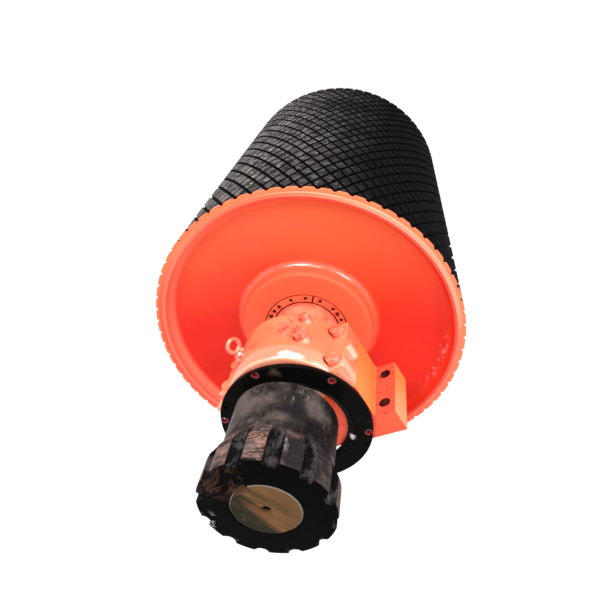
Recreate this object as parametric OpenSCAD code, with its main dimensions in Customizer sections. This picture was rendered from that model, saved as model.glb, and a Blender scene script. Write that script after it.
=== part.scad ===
// Lagged drive pulley of a belt conveyor, with its two bearing housings and one coupling half.
// The origin is on the shaft axis, midway along the drum. The shaft runs along Y, the drive end
// is towards -Y and the housings stand upright, feet down.

/* [Drum] */
// Outside diameter of the bare steel drum
drum_d = 1000; // [940:10:1250]
// Length of the drum
drum_l = 1400; // [1150:10:2000]
// Wall thickness of the drum
drum_wall = 23; // [14:1:30]
// Chamfer on the drum's edges
drum_chamfer = 2; // [1:0.5:4]

/* [Lagging] */
// Thickness of the rubber lagging
lagging_t = 12; // [10:1:20]
// Width of steel left bare at each end of the drum
lagging_inset = 5; // [2:1:20]
// Depth of the grooves
groove_depth = 5; // [3:0.5:8]
// Width of the grooves
groove_w = 8; // [4:0.5:12]
// Number of grooves of each hand around the drum
groove_starts = 44; // [24:1:44]
// Number of diamond rows along the drum, counted in half diamonds
groove_rows = 21; // [11:2:21]

/* [End discs] */
// Diameter of the raised hub's outside
hub_d = 440; // [400:5:480]
// Distance from the drum's end in to the hub's face
hub_recess = 30; // [10:1:60]
// Length of the hub
hub_l = 112; // [100:1:140]
// Distance from the drum's end in to the web beside the hub
web_recess = 83; // [70:1:90]
// Distance from the drum's end in to the web at the rim
web_rim_recess = 52; // [45:1:60]
// Thickness of the web at the rim
web_t = 34; // [25:1:45]
// Fillet between the web and the drum wall
rim_fillet = 38; // [20:1:45]
// Fillet between the web and the hub
hub_fillet = 20; // [10:1:24]
// Rounding of the hub's outer edge
hub_rounding = 12; // [6:1:16]

/* [Shaft] */
// Shaft diameter between the end discs
shaft_mid_d = 230; // [226:1:236]
// Shaft diameter in the hubs, which is the bore of the locking assemblies
shaft_hub_d = 220; // [216:1:224]
// Shaft diameter between hub and bearing
shaft_neck_d = 200; // [196:1:210]
// Shaft diameter at the bearings
shaft_bearing_d = 180; // [176:1:184]
// Shaft diameter at the coupling
shaft_coupling_d = 170; // [164:1:174]
// Distance between the two bearings
bearing_span = 1860; // [1800:10:2600]
// Distance that the drive end stands out past the bearing's middle
drive_extension = 434; // [420:1:520]
// Diameter of the centre hole in the shaft's ends
centre_hole_d = 16; // [10:1:24]

/* [Locking assembly] */
// Outside diameter
lock_d = 285; // [280:1:292]
// Length
lock_l = 62; // [56:1:70]
// Number of places around the screw circle
lock_places = 32; // [32:32]
// Screw diameter
lock_screw_d = 14; // [10:1:14]
// Width of the slit through the rings
lock_slit = 3; // [2:0.5:5]
// Angle of the slits around the shaft
lock_slit_angle = 52.5; // [0:0.5:90]

/* [Bearings] */
// Outside diameter of the bearing
bearing_d = 320; // [318:1:322]
// Width of the bearing
bearing_w = 86; // [84:1:88]
// Diameter of the rollers
roller_d = 38; // [36:0.5:39]
// Length of the rollers
roller_l = 36; // [32:0.5:37]
// Number of rollers in each of the two rows
roller_count = 18; // [14:1:18]
// Angle of the rollers' line of contact
contact_angle = 11; // [9:0.5:12]
// Radius of the spherical race in the outer ring
race_r = 143; // [142:0.5:144]

/* [Housings] */
// Height of the shaft above the housing's underside
centre_h = 190; // [184:1:230]
// Length of the base over its feet
base_l = 540; // [530:1:600]
// Length of the base body where it meets the feet
body_l = 412; // [404:1:430]
// Width of the housing along the shaft
housing_w = 206; // [200:1:230]
// Thickness of the feet
foot_t = 76; // [40:1:90]
// Outside radius of the rounded cap
cap_r = 176; // [174:1:184]
// Height of the cap's flanges above the shaft axis
flange_h = 72; // [60:1:80]
// Length of the housing over the cap's flanges
flange_l = 400; // [396:1:410]
// Distance between the foot holes across the shaft
foot_hole_x = 472; // [460:1:480]
// Distance between the foot holes along the shaft
foot_hole_y = 120; // [100:1:130]
// Diameter of the foot holes
foot_hole_d = 32; // [26:1:36]
// Diameter of the cap bolts
cap_bolt_d = 24; // [20:1:24]
// Distance between the cap bolts along the shaft
cap_bolt_y = 128; // [120:1:140]
// Distance between the cap bolts across the shaft
cap_bolt_x = 344; // [342:1:350]

/* [Coupling half] */
// Diameter of the boss
boss_d = 284; // [270:1:290]
// Diameter over the teeth
teeth_d = 330; // [320:1:334]
// Length of the toothed part
teeth_l = 74; // [60:1:90]
// Length of the slope behind the teeth
teeth_slope = 52; // [30:1:60]
// Length of the whole hub
coupling_l = 276; // [260:1:300]
// Number of pin notches
notch_count = 12; // [8:1:14]
// Diameter of the coupling pins that the notches hold
pin_d = 40; // [30:1:44]
// Width of the key
key_w = 40; // [36:1:45]
// Height of the key
key_h = 22; // [20:1:25]
// Length of the key
key_l = 250; // [200:1:260]

/* [Retaining ring] */
// Outside diameter
ring_d = 434; // [426:1:440]
// Inside diameter
ring_bore_d = 294; // [290:1:300]
// Thickness
ring_t = 12; // [8:1:16]
// Diameter of the hole circle
ring_pcd = 410; // [400:1:412]
// Number of holes
ring_holes = 6; // [4:1:12]
// Diameter of the holes
ring_hole_d = 17; // [10:1:18]
// Distance from the shaft's end face back to the ring's middle
ring_setback = 323; // [300:1:324]
// Direction in which the ring hangs off centre
ring_hang_angle = -100; // [-120:1:-60]

/* [Fits] */
// Clearance between pieces that are assembled together
seat_gap = 0.05; // [0.02:0.01:0.1]
// Clearance between pieces that move on each other
run_gap = 0.3; // [0.15:0.05:0.5]

/* [Hidden] */
$fn = 96;

// Everything is drawn in the shaft's own frame: z runs along the shaft from the middle of the
// drum to one end, x is sideways and y is up. These two place it at either end.
module drive_end() {
    rotate([90, 0, 0]) children();
}
module far_end() {
    mirror([0, 1, 0]) rotate([90, 0, 0]) children();
}
// Stands a piece that is drawn along z upright, along y.
module upright() {
    rotate([-90, 0, 0]) children();
}
// Copies a piece to both sides of the shaft.
module both_sides() {
    children();
    mirror([1, 0, 0]) children();
}
// Copies a piece around the shaft.
module around(count, start = 0) {
    for (i = [0 : count - 1]) rotate([0, 0, start + i * 360 / count]) children();
}
// A corner between two neighbours a and b, and the arc that rounds it. The chord joins the
// arc's two ends, from a's side to b's.
function unit(v) = v / norm(v);
function half_angle(a, corner, b) = acos(unit(a - corner) * unit(b - corner)) / 2;
function arc_centre(a, corner, b, radius) = corner
    + unit(unit(a - corner) + unit(b - corner)) * radius / sin(half_angle(a, corner, b));
function arc_chord(a, corner, b, radius) = [for (to = [a, b])
    corner + unit(to - corner) * radius / tan(half_angle(a, corner, b))];
// Removes the round of a hollow corner whose outline runs along the chord
module hollow_arc(a, corner, b, radius) {
    translate(arc_centre(a, corner, b, radius)) circle(r = radius);
}
// The sliver between a corner and its arc. It is added to a hollow corner, and taken away from
// an outer one.
module corner_sliver(a, corner, b, radius) {
    difference() {
        polygon(concat([corner], arc_chord(a, corner, b, radius)));
        hollow_arc(a, corner, b, radius);
    }
}

// Drum and end discs
drum_r = drum_d / 2;
bore_r = drum_r - drum_wall;
drum_half = drum_l / 2;
lagging_r = drum_r + lagging_t;
lagging_half = drum_half - lagging_inset;
lagging_turn = 63.5;
hub_r = hub_d / 2;
hub_face_z = drum_half - hub_recess;
hub_back_z = hub_face_z - hub_l;
web_z = drum_half - web_recess;
web_rim_z = drum_half - web_rim_recess;
// Radius at which the web's face reaches its rim depth
disc_r = bore_r - seat_gap;
web_rim_r = bore_r - rim_fillet;
// Back face of the web, at the rim and where it blends into the hub
web_back_z = web_rim_z - web_t;
web_back_blend_r = hub_r + 40;
web_back_rise = 20;
hub_back_step = 10;

// Locking assembly, sunk a little into the hub
lock_sink = 2;
lock_r = lock_d / 2;
lock_bore_r = lock_r + seat_gap;
// Clearance hole of the hub's back wall over the shaft
entry_r = shaft_mid_d / 2 + 1;
lock_face_z = hub_face_z - lock_sink;
lock_mid_z = lock_face_z - lock_l / 2;
lock_back_z = lock_face_z - lock_l;
lock_recess_run = 4;
lock_ring_edge = 3;
lock_ring_rise = 3;
lock_collar_t = 4;
lock_gap = 1;
lock_ring_low = lock_back_z + lock_collar_t + lock_gap;
lock_ring_high = lock_face_z - lock_collar_t - lock_gap;
lock_screw_r = (lock_r + shaft_hub_d / 2) / 2;
lock_head_d = lock_screw_d * 1.5;
lock_head_h = lock_screw_d;
// Screws stand in pairs and threes around the slit, and the other places hold jacking threads
lock_screw_places = [1, 3, 5, 6, 7, 9, 11, 13, 14, 15, 17, 19, 21, 22, 23, 25, 27, 28, 29, 31];

// Shaft
neck_r = shaft_neck_d / 2;
bearing_z = bearing_span / 2;
bearing_seat_in = bearing_z - bearing_w / 2;
bearing_seat_out = bearing_z + bearing_w / 2;
tab_washer_t = 2.5;
lock_nut_w = 27;
thread_end_z = bearing_seat_out + tab_washer_t + lock_nut_w + 1;
shaft_end_z = bearing_z + drive_extension;
neck_start_z = drum_half + 15;
neck_taper_l = 22;
neck_fillet = 12;
end_chamfer = 3;

// Bearings
roller_r = roller_d / 2;
race_gap = 0.15;
roller_profile_r = race_r - race_gap;
roller_pitch_r = roller_profile_r - roller_r;

// Housings
housing_in = bearing_z - housing_w / 2;
housing_out = bearing_z + housing_w / 2;
housing_wall = 20;
outer_wall_z = housing_out - housing_wall;
bearing_seat_r = bearing_d / 2 + seat_gap;
locating_ring_w = 10;
chamber_r = 150;
seal_collar_r = 142;
seal_collar_l = 10;
seal_ring_t = 14;
seal_bore_inner_r = neck_r + seal_ring_t + 0.5;
seal_bore_outer_r = shaft_coupling_d / 2 + seal_ring_t + 0.5;
cap_edge_r = 10;
outline_edge_r = 4;
foot_fillet = 8;
foot_draft = 4;
foot_pad_l = 108;
foot_relief = 5;
foot_top = foot_t - centre_h;
half_space = 3000;
// Half length at the split, on the line from the shelf's edge to the foot
split_half = flange_l / 2 + (body_l - flange_l) / 2 * flange_h / (flange_h - foot_top);
spot_face_d = 48;
cap_bolt_head_w = cap_bolt_d * 1.5;
cap_bolt_head_h = cap_bolt_d * 0.63;
cap_bolt_grip = 46;
cap_washer_t = 4;
cap_washer_d = cap_bolt_d * 1.83;
rib_r = 17;
rib_low = 12;
dowel_d = 16;
dowel_l = 59;
// Fittings on the cap. Each stands on a raised seat and screws a little way into the wall.
fitting_seat_h = 6;
fitting_seat_root = 24;
fitting_shank_l = 10;
eye_bolt_x = -112;
eye_bolt_z = bearing_z - 18;
eye_turn = -33;
eye_shank_r = 6;
eye_seat_r = 17;
grease_x = 104;
grease_z = bearing_z + 14;
grease_shank_r = 6;
grease_seat_r = 21;
top_plug_x = 56;
top_plug_z = bearing_z - 19;
rear_plug_x = 103;
rear_plug_z = bearing_z - 73;
plug_shank_r = 6;
plug_seat_r = 16;
side_plug_angle = 141;
side_plug_z = bearing_z - 80;
side_plug_seat_r = 14;
side_plug_shank_r = 7;
drain_y = foot_top + 22;
drain_z = bearing_z + 68;
drain_x = body_l / 2 + 3;
drain_seat_r = 17;
drain_shank_r = 8;

// Coupling half and its ring
boss_r = boss_d / 2;
teeth_r = teeth_d / 2;
coupling_back_z = shaft_end_z - coupling_l;
teeth_back_z = shaft_end_z - teeth_l;
pin_circle_r = teeth_r + 5;
notch_start = -4;
key_angle = 103.5;
key_depth = 13;
coupling_r = shaft_coupling_d / 2;
keyway_top_r = coupling_r - key_depth + key_h + 0.4;
ring_z = shaft_end_z - ring_setback;
ring_hole_start = 33.3;
ring_jack_angle = -41;
ring_jack_depth = 8;
ring_jack_r = 5;
ring_offset = ring_bore_d / 2 - coupling_r - run_gap;
ring_dish_w = 15;
ring_dish_t = 7;

// ---- Drum ----

module drum_shell() {
    edge = drum_chamfer;
    color("orangered") rotate_extrude() difference() {
        translate([bore_r, -drum_half]) square([drum_wall, drum_l]);
        for (end = [-1, 1]) {
            translate([drum_r, end * drum_half]) rotate(45) square(edge * 1.4142, center = true);
            translate([bore_r, end * drum_half]) rotate(45) square(edge * 1.4142, center = true);
        }
    }
}

// The lagging is one closed mesh: a grid of groove crossings with a raised diamond between each
// four of them. Crossings and diamonds share a row number, and every other row is turned by half
// a pitch.
function on_cylinder(radius, angle, z) = [radius * cos(angle), radius * sin(angle), z];
module lagging() {
    pitch = 360 / groove_starts;
    row_h = 2 * lagging_half / groove_rows;
    groove_r = lagging_r - groove_depth;
    // Half the groove's width, measured along the diamond's two diagonals
    arc_pitch = lagging_r * pitch * PI / 180;
    slant = sqrt(arc_pitch * arc_pitch / 4 + row_h * row_h);
    inset_z = groove_w / 2 * slant / (arc_pitch / 2);
    inset_a = groove_w / 2 * slant / row_h / (lagging_r * PI / 180);
    // A mesh of flats lies outside the round drum, so its corners stand off a little
    bond_r = (drum_r + seat_gap) / cos(pitch / 4);
    n = groove_starts;
    m = groove_rows;
    function turned(j) = (m - j) % 2;
    function row_turn(j) = lagging_turn + turned(j) * pitch / 2;
    function row_z(j) = -lagging_half + j * row_h;
    crossings = [for (j = [0 : m]) for (i = [0 : n - 1])
        on_cylinder(groove_r, row_turn(j) + i * pitch, row_z(j))];
    // Diamonds are centred half a pitch past crossing i of row j; end rows hold half diamonds.
    low = [for (j = [0 : m]) for (i = [0 : n - 1])
        on_cylinder(lagging_r, row_turn(j) + (i + 0.5) * pitch,
            j == 0 ? row_z(0) : row_z(j - 1) + inset_z)];
    high = [for (j = [0 : m]) for (i = [0 : n - 1])
        on_cylinder(lagging_r, row_turn(j) + (i + 0.5) * pitch,
            j == m ? row_z(m) : row_z(j + 1) - inset_z)];
    left = [for (j = [0 : m]) for (i = [0 : n - 1])
        on_cylinder(lagging_r, row_turn(j) + i * pitch + inset_a, row_z(j))];
    right = [for (j = [0 : m]) for (i = [0 : n - 1])
        on_cylinder(lagging_r, row_turn(j) + (i + 1) * pitch - inset_a, row_z(j))];
    bond = [for (end = [0, m]) for (i = [0 : 2 * n - 1])
        on_cylinder(bond_r, row_turn(end) + i * pitch / 2, row_z(end))];
    rows = (m + 1) * n;
    function c(j, i) = j * n + (i + n) % n;
    function lo(j, i) = rows + c(j, i);
    function hi(j, i) = 2 * rows + c(j, i);
    function le(j, i) = 3 * rows + c(j, i);
    function ri(j, i) = 4 * rows + c(j, i);
    function bo(end, i) = 5 * rows + end * 2 * n + (i + 2 * n) % (2 * n);
    // The crossing below or above a diamond, which sits half a pitch along
    function near(j, i, step) = c(j + step, i + turned(j));
    tops = [for (j = [1 : m - 1]) for (i = [0 : n - 1]) each [
        [lo(j, i), hi(j, i), ri(j, i)], [lo(j, i), le(j, i), hi(j, i)]]];
    low_walls = [for (j = [1 : m]) for (i = [0 : n - 1]) each [
        [c(j, i), lo(j, i), near(j, i, -1)], [c(j, i), le(j, i), lo(j, i)],
        [near(j, i, -1), ri(j, i), c(j, i + 1)], [near(j, i, -1), lo(j, i), ri(j, i)]]];
    high_walls = [for (j = [0 : m - 1]) for (i = [0 : n - 1]) each [
        [c(j, i), hi(j, i), le(j, i)], [c(j, i), near(j, i, 1), hi(j, i)],
        [c(j, i + 1), hi(j, i), near(j, i, 1)], [c(j, i + 1), ri(j, i), hi(j, i)]]];
    inner = [for (i = [0 : 2 * n - 1]) each [
        [bo(0, i), bo(0, i + 1), bo(1, i + m % 2)],
        [bo(0, i + 1), bo(1, i + 1 + m % 2), bo(1, i + m % 2)]]];
    low_end = [for (i = [0 : n - 1]) each [
        [le(0, i), hi(0, i), ri(0, i)],
        [bo(0, 2 * i), c(0, i), le(0, i), bo(0, 2 * i + 1)],
        [bo(0, 2 * i + 1), le(0, i), ri(0, i)],
        [bo(0, 2 * i + 1), ri(0, i), c(0, i + 1), bo(0, 2 * i + 2)]]];
    high_end = [for (i = [0 : n - 1]) each [
        [le(m, i), ri(m, i), lo(m, i)],
        [c(m, i), bo(1, 2 * i), bo(1, 2 * i + 1), le(m, i)],
        [le(m, i), bo(1, 2 * i + 1), ri(m, i)],
        [ri(m, i), bo(1, 2 * i + 1), bo(1, 2 * i + 2), c(m, i + 1)]]];
    color("dimgray") polyhedron(
        concat(crossings, low, high, left, right, bond),
        concat(tops, low_walls, high_walls, inner, low_end, high_end));
}

// A dished cast disc: the hub takes the locking assembly, the web carries the drum.
module end_disc() {
    hub_edge = [hub_r, hub_face_z];
    hub_foot = [hub_r, web_z];
    web_slope = (web_rim_z - web_z) / (web_rim_r - hub_r);
    web_rim = [disc_r, web_z + (disc_r - hub_r) * web_slope];
    rim_top = [disc_r, drum_half];
    back_hub = [hub_r - hub_back_step, hub_back_z];
    back_blend = [web_back_blend_r, web_back_z - web_back_rise];
    back_rim = [disc_r, web_back_z];
    recess_z = lock_back_z - lock_recess_run;
    color("orangered") rotate_extrude() difference() {
        polygon(concat(
            [[entry_r, hub_back_z], back_hub],
            arc_chord(back_hub, back_blend, back_rim, rim_fillet),
            [back_rim],
            arc_chord(rim_top, web_rim, hub_foot, rim_fillet),
            arc_chord(web_rim, hub_foot, hub_edge, hub_fillet),
            [hub_edge, [lock_bore_r, hub_face_z], [lock_bore_r, recess_z], [entry_r, recess_z]]
        ));
        hollow_arc(back_hub, back_blend, back_rim, rim_fillet);
        hollow_arc(rim_top, web_rim, hub_foot, rim_fillet);
        hollow_arc(web_rim, hub_foot, hub_edge, hub_fillet);
        corner_sliver([lock_r, hub_face_z], hub_edge, hub_foot, hub_rounding);
    }
}

// ---- Locking assembly ----

module slit() {
    rotate([0, 0, lock_slit_angle])
        translate([0, -lock_slit / 2, lock_back_z - 1]) cube([lock_r + 5, lock_slit, lock_l + 2]);
}
// Places of the screws around the shaft
module at_lock_screws() {
    for (place = lock_screw_places)
        rotate([0, 0, lock_slit_angle + place * 360 / lock_places])
            translate([lock_screw_r, 0, 0]) children();
}
// Outer ring: round outside, thickest in the middle of its two tapers
module lock_outer_ring() {
    edge = lock_r - lock_ring_edge;
    color("silver") difference() {
        rotate_extrude() polygon([
            [lock_r, lock_ring_low], [lock_r, lock_ring_high], [edge, lock_ring_high],
            [edge - lock_ring_rise, lock_mid_z], [edge, lock_ring_low]
        ]);
        slit();
    }
}
// Inner ring: round bore on the shaft, thickest in the middle
module lock_inner_ring() {
    bore = shaft_hub_d / 2 + seat_gap;
    edge = bore + lock_ring_edge;
    color("silver") difference() {
        rotate_extrude() polygon([
            [bore, lock_ring_low], [edge, lock_ring_low],
            [edge + lock_ring_rise, lock_mid_z],
            [edge, lock_ring_high], [bore, lock_ring_high]
        ]);
        slit();
    }
}
// Half section of a clamping ring: a wedge between the two tapers, with a collar on its wide end.
// It runs from start, near the middle, to face, the collar's outer face.
module wedge_section(start, face) {
    way = face > start ? 1 : -1;
    neck = face - way * lock_collar_t;
    taper = lock_ring_rise / (lock_ring_high - lock_mid_z);
    bore = shaft_hub_d / 2 + seat_gap;
    function inner(z) = bore + lock_ring_edge + lock_ring_rise
        - abs(z - lock_mid_z) * taper + seat_gap;
    function outer(z) = lock_r - lock_ring_edge - lock_ring_rise
        + abs(z - lock_mid_z) * taper - seat_gap;
    polygon([
        [inner(start), start], [outer(start), start], [outer(neck), neck],
        [lock_r - lock_gap, neck], [lock_r - lock_gap, face],
        [shaft_hub_d / 2 + lock_gap, face], [shaft_hub_d / 2 + lock_gap, neck],
        [inner(neck), neck]
    ]);
}
module lock_front_ring() {
    color("orangered") difference() {
        rotate_extrude() wedge_section(lock_mid_z + 2, lock_face_z);
        slit();
        at_lock_screws() {
            translate([0, 0, lock_mid_z]) cylinder(h = lock_l, r = lock_screw_d / 2 + 0.5);
            translate([0, 0, lock_face_z - lock_head_h - 1])
                cylinder(h = lock_head_h + 2, r = lock_head_d / 2 + 0.7);
        }
    }
}
module lock_rear_ring() {
    color("silver") difference() {
        rotate_extrude() wedge_section(lock_mid_z - 2, lock_back_z);
        slit();
        at_lock_screws() translate([0, 0, lock_back_z])
            cylinder(h = lock_l / 2, r = lock_screw_d / 2 + seat_gap);
    }
}
module lock_screws() {
    seat = lock_face_z - lock_head_h - 1;
    tip = lock_back_z + 3;
    color("dimgray") at_lock_screws() difference() {
        union() {
            translate([0, 0, tip]) cylinder(h = seat - tip + 1, r = lock_screw_d / 2);
            translate([0, 0, seat]) cylinder(h = lock_head_h, r = lock_head_d / 2);
        }
        translate([0, 0, seat + lock_head_h / 2])
            cylinder(h = lock_head_h, d = lock_screw_d * 0.99, $fn = 6);
    }
}

// ---- Shaft and coupling half ----

// Half section of the shaft from its middle to one end. The last step is the coupling seat.
module shaft_section(end_r, end_z) {
    seat_r = shaft_bearing_d / 2;
    hub_seat_r = shaft_hub_d / 2;
    neck_top = [hub_seat_r, neck_start_z];
    neck_foot = [neck_r, neck_start_z + neck_taper_l];
    difference() {
        union() {
            polygon([
                [0, 0], [shaft_mid_d / 2, 0], [shaft_mid_d / 2, lock_back_z - 6],
                [hub_seat_r, lock_back_z - 6], neck_top, neck_foot,
                [neck_r, bearing_seat_in],
                [seat_r, bearing_seat_in], [seat_r, thread_end_z],
                [end_r, thread_end_z], [end_r, end_z - end_chamfer],
                [end_r - end_chamfer, end_z], [0, end_z]
            ]);
            corner_sliver(neck_top, neck_foot, [neck_r, bearing_seat_in], neck_fillet);
        }
        corner_sliver([hub_seat_r, lock_face_z], neck_top, neck_foot, neck_fillet);
        // Centre hole with its countersink
        polygon([[0, end_z + 1], [centre_hole_d, end_z + 1], [centre_hole_d / 2, end_z - 12],
            [centre_hole_d / 2, end_z - 40], [0, end_z - 45]]);
    }
}
module key_slot_tool(width, depth_r, height) {
    rotate([0, 0, key_angle]) {
        translate([depth_r, -width / 2, shaft_end_z - key_l + width / 2])
            cube([height, width, key_l]);
        translate([depth_r, 0, shaft_end_z - key_l + width / 2]) rotate([0, 90, 0])
            cylinder(h = height, r = width / 2);
    }
}
module shaft() {
    color("orangered") union() {
        drive_end() difference() {
            rotate_extrude() shaft_section(coupling_r, shaft_end_z);
            key_slot_tool(key_w, coupling_r - key_depth, key_h * 2);
        }
        far_end() rotate_extrude() shaft_section(coupling_r, thread_end_z + 6);
    }
}
module coupling_key() {
    bottom = coupling_r - key_depth;
    color("saddlebrown") intersection() {
        key_slot_tool(key_w - 2 * seat_gap, bottom, key_h);
        translate([0, 0, shaft_end_z - key_l])
            cylinder(h = key_l, r = bottom + key_h + key_w);
    }
}
// Boss with a ring of teeth; each gap between teeth is half of a pin hole.
module coupling_hub() {
    boss_edge = 3;
    color("dimgray") difference() {
        rotate_extrude() polygon([
            [coupling_r + seat_gap, coupling_back_z + boss_edge],
            [coupling_r + boss_edge, coupling_back_z], [boss_r - boss_edge, coupling_back_z],
            [boss_r, coupling_back_z + boss_edge], [boss_r, teeth_back_z - teeth_slope],
            [teeth_r, teeth_back_z], [teeth_r, shaft_end_z - boss_edge],
            [teeth_r - boss_edge, shaft_end_z], [coupling_r + boss_edge, shaft_end_z],
            [coupling_r + seat_gap, shaft_end_z - boss_edge]
        ]);
        around(notch_count, notch_start) translate([pin_circle_r, 0, coupling_back_z + 40])
            cylinder(h = coupling_l, r = pin_d / 2);
        rotate([0, 0, key_angle])
            translate([coupling_r - key_depth, -key_w / 2, coupling_back_z - 1])
                cube([keyway_top_r - coupling_r + key_depth, key_w, coupling_l + 2]);
    }
}
// Plate ring that closes the pin holes when the coupling is joined. Here it hangs on the shaft,
// behind the hub. Its bore is dished on the coupling's side.
module retaining_ring() {
    edge = 1;
    color("#262626") rotate([0, 0, ring_hang_angle])
        translate([ring_offset, 0, ring_z - ring_t / 2]) rotate([0, 0, -ring_hang_angle])
        difference() {
            rotate_extrude() polygon([
                [ring_bore_d / 2, edge], [ring_bore_d / 2 + edge, 0], [ring_d / 2 - edge, 0],
                [ring_d / 2, edge], [ring_d / 2, ring_t - edge], [ring_d / 2 - edge, ring_t],
                [ring_bore_d / 2 + ring_dish_w, ring_t],
                [ring_bore_d / 2, ring_t - ring_dish_t]
            ]);
            around(ring_holes, ring_hole_start) translate([ring_pcd / 2, 0, -1])
                cylinder(h = ring_t + 2, r = ring_hole_d / 2);
            around(2, ring_jack_angle) translate([ring_pcd / 2, 0, ring_t - ring_jack_depth])
                cylinder(h = ring_t, r = ring_jack_r);
        }
}

// ---- Bearings ----

module bearing_outer_ring() {
    color("lightsteelblue") translate([0, 0, bearing_z]) difference() {
        rotate_extrude() difference() {
            translate([race_r - 15, -bearing_w / 2])
                square([bearing_d / 2 - race_r + 15, bearing_w]);
            circle(r = race_r);
            translate([bearing_d / 2 - 3, -6]) square([10, 12]);
        }
        around(3, 90) rotate([0, 90, 0]) cylinder(h = bearing_d, r = 4);
    }
}
// Centre of the circle that shapes the inner race, in the half section
function inner_race_centre(side) =
    2 * roller_pitch_r * [cos(contact_angle), side * sin(contact_angle)];
module bearing_inner_ring() {
    bore = shaft_bearing_d / 2 + seat_gap;
    color("lightsteelblue") translate([0, 0, bearing_z]) rotate_extrude() difference() {
        translate([bore, -bearing_w / 2]) square([25, bearing_w]);
        for (side = [-1, 1]) translate(inner_race_centre(side)) circle(r = race_r);
    }
}
// One roller at the top of the drive-side row, in the bearing's own frame
module at_roller() {
    rotate([0, -contact_angle, 0]) translate([roller_pitch_r, 0, 0]) children();
}
module roller() {
    rotate_extrude() intersection() {
        translate([-roller_pitch_r, 0]) circle(r = roller_profile_r);
        translate([0, -roller_l / 2]) square([roller_r + 1, roller_l]);
    }
}
module both_roller_rows() {
    around(roller_count) children();
    mirror([0, 0, 1]) around(roller_count, 180 / roller_count) children();
}
module bearing_rollers() {
    color("lightsteelblue") translate([0, 0, bearing_z])
        both_roller_rows() at_roller() roller();
}
// Comb cage: a middle ring with prongs between the rollers of both rows
module bearing_cage() {
    cage_in = 116;
    cage_out = 126;
    cage_half = bearing_w / 2 - 3;
    color("goldenrod") translate([0, 0, bearing_z]) difference() {
        rotate_extrude() translate([cage_in, -cage_half])
            square([cage_out - cage_in, 2 * cage_half]);
        both_roller_rows() at_roller() translate([0, 0, -roller_l / 2 - run_gap])
            cylinder(h = roller_l * 2, r = roller_r + run_gap);
    }
}
module lock_nut() {
    nut_r = shaft_bearing_d / 2 + 25;
    start = bearing_seat_out + tab_washer_t;
    color("silver") difference() {
        translate([0, 0, start]) rotate_extrude()
            translate([shaft_bearing_d / 2 + seat_gap, 0])
                square([nut_r - shaft_bearing_d / 2 - seat_gap, lock_nut_w]);
        around(8) translate([nut_r - 8, -8, start - 1]) cube([20, 16, lock_nut_w + 2]);
    }
}
module tab_washer() {
    rim_r = shaft_bearing_d / 2 + 21;
    color("silver") translate([0, 0, bearing_seat_out]) linear_extrude(tab_washer_t)
        difference() {
            union() {
                circle(r = rim_r);
                for (i = [0 : 18]) rotate(i * 360 / 19)
                    translate([rim_r - 2, -6]) square([9, 12]);
            }
            circle(r = shaft_bearing_d / 2 + seat_gap);
        }
}
module seal_ring(shaft_r, wall_start) {
    color("silver") translate([0, 0, wall_start]) rotate_extrude() difference() {
        translate([shaft_r + seat_gap, 0]) square([seal_ring_t - seat_gap, housing_wall]);
        for (groove = [1 : 3]) translate([shaft_r + seal_ring_t, groove * housing_wall / 4])
            square([8, 3], center = true);
    }
}
module locating_rings() {
    color("silver") translate([0, 0, bearing_z]) for (side = [0, 1]) mirror([0, 0, side])
        translate([0, 0, bearing_w / 2]) rotate_extrude() translate([chamber_r, 0])
            square([bearing_d / 2 - chamber_r, locating_ring_w]);
}

// ---- Housings ----

// Hollow of the housing: bearing seat, grease chamber and the two seal bores
module housing_hollow() {
    seat_half = bearing_w / 2 + locating_ring_w;
    chamber_half = housing_w / 2 - housing_wall;
    through = housing_w / 2 + seal_collar_l + 1;
    translate([0, 0, bearing_z]) rotate_extrude() {
        translate([0, -seat_half]) square([bearing_seat_r, 2 * seat_half]);
        translate([0, -chamber_half]) square([chamber_r, 2 * chamber_half]);
        translate([0, -through]) square([seal_bore_inner_r, through]);
        square([seal_bore_outer_r, through]);
    }
}
// Round body of the housing: a barrel with rounded edges and a seal collar towards the drum
module housing_barrel() {
    edge = [cap_r, housing_w / 2];
    translate([0, 0, bearing_z]) rotate_extrude() {
        difference() {
            translate([0, -housing_w / 2]) square([cap_r, housing_w]);
            for (end = [-1, 1])
                corner_sliver([0, end * edge[1]], [cap_r, end * edge[1]], [cap_r, 0], cap_edge_r);
        }
        translate([0, -housing_w / 2 - seal_collar_l])
            square([seal_collar_r, housing_w / 2 + seal_collar_l]);
    }
}
// Side outline of the base, with its outer corners rounded
module base_outline() {
    body_half = body_l / 2;
    base_half = base_l / 2;
    foot_edge = [base_half - foot_draft, foot_top];
    difference() {
        union() {
            polygon([
                [-split_half, 0], [-body_half, foot_top], [-foot_edge[0], foot_top],
                [-base_half, -centre_h], [base_half, -centre_h], foot_edge,
                [body_half, foot_top], [split_half, 0]
            ]);
            both_sides() corner_sliver([split_half, 0], [body_half, foot_top], foot_edge,
                foot_fillet);
        }
        both_sides() corner_sliver([body_half, foot_top], foot_edge, [base_half, -centre_h],
            outline_edge_r);
        // Relief under the middle, so that the base stands on its two pads
        translate([foot_pad_l - base_half, -centre_h - 1])
            square([base_l - 2 * foot_pad_l, foot_relief + 1]);
    }
}
module cap_outline() {
    shelf_edge = [flange_l / 2, flange_h];
    difference() {
        polygon([[-split_half, 0], [split_half, 0], shelf_edge, [-shelf_edge[0], flange_h]]);
        both_sides() corner_sliver([split_half, 0], shelf_edge, [0, flange_h],
            outline_edge_r);
    }
}
module at_cap_bolts() {
    both_sides() for (side = [-1, 1])
        translate([cap_bolt_x / 2, 0, bearing_z + side * cap_bolt_y / 2]) upright() children();
}
module at_dowels() {
    both_sides() translate([cap_bolt_x / 2, 0, bearing_z]) upright() children();
}
module at_foot_holes() {
    both_sides() for (side = [-1, 1])
        translate([foot_hole_x / 2, -centre_h, bearing_z + side * foot_hole_y / 2])
            upright() children();
}
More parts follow.
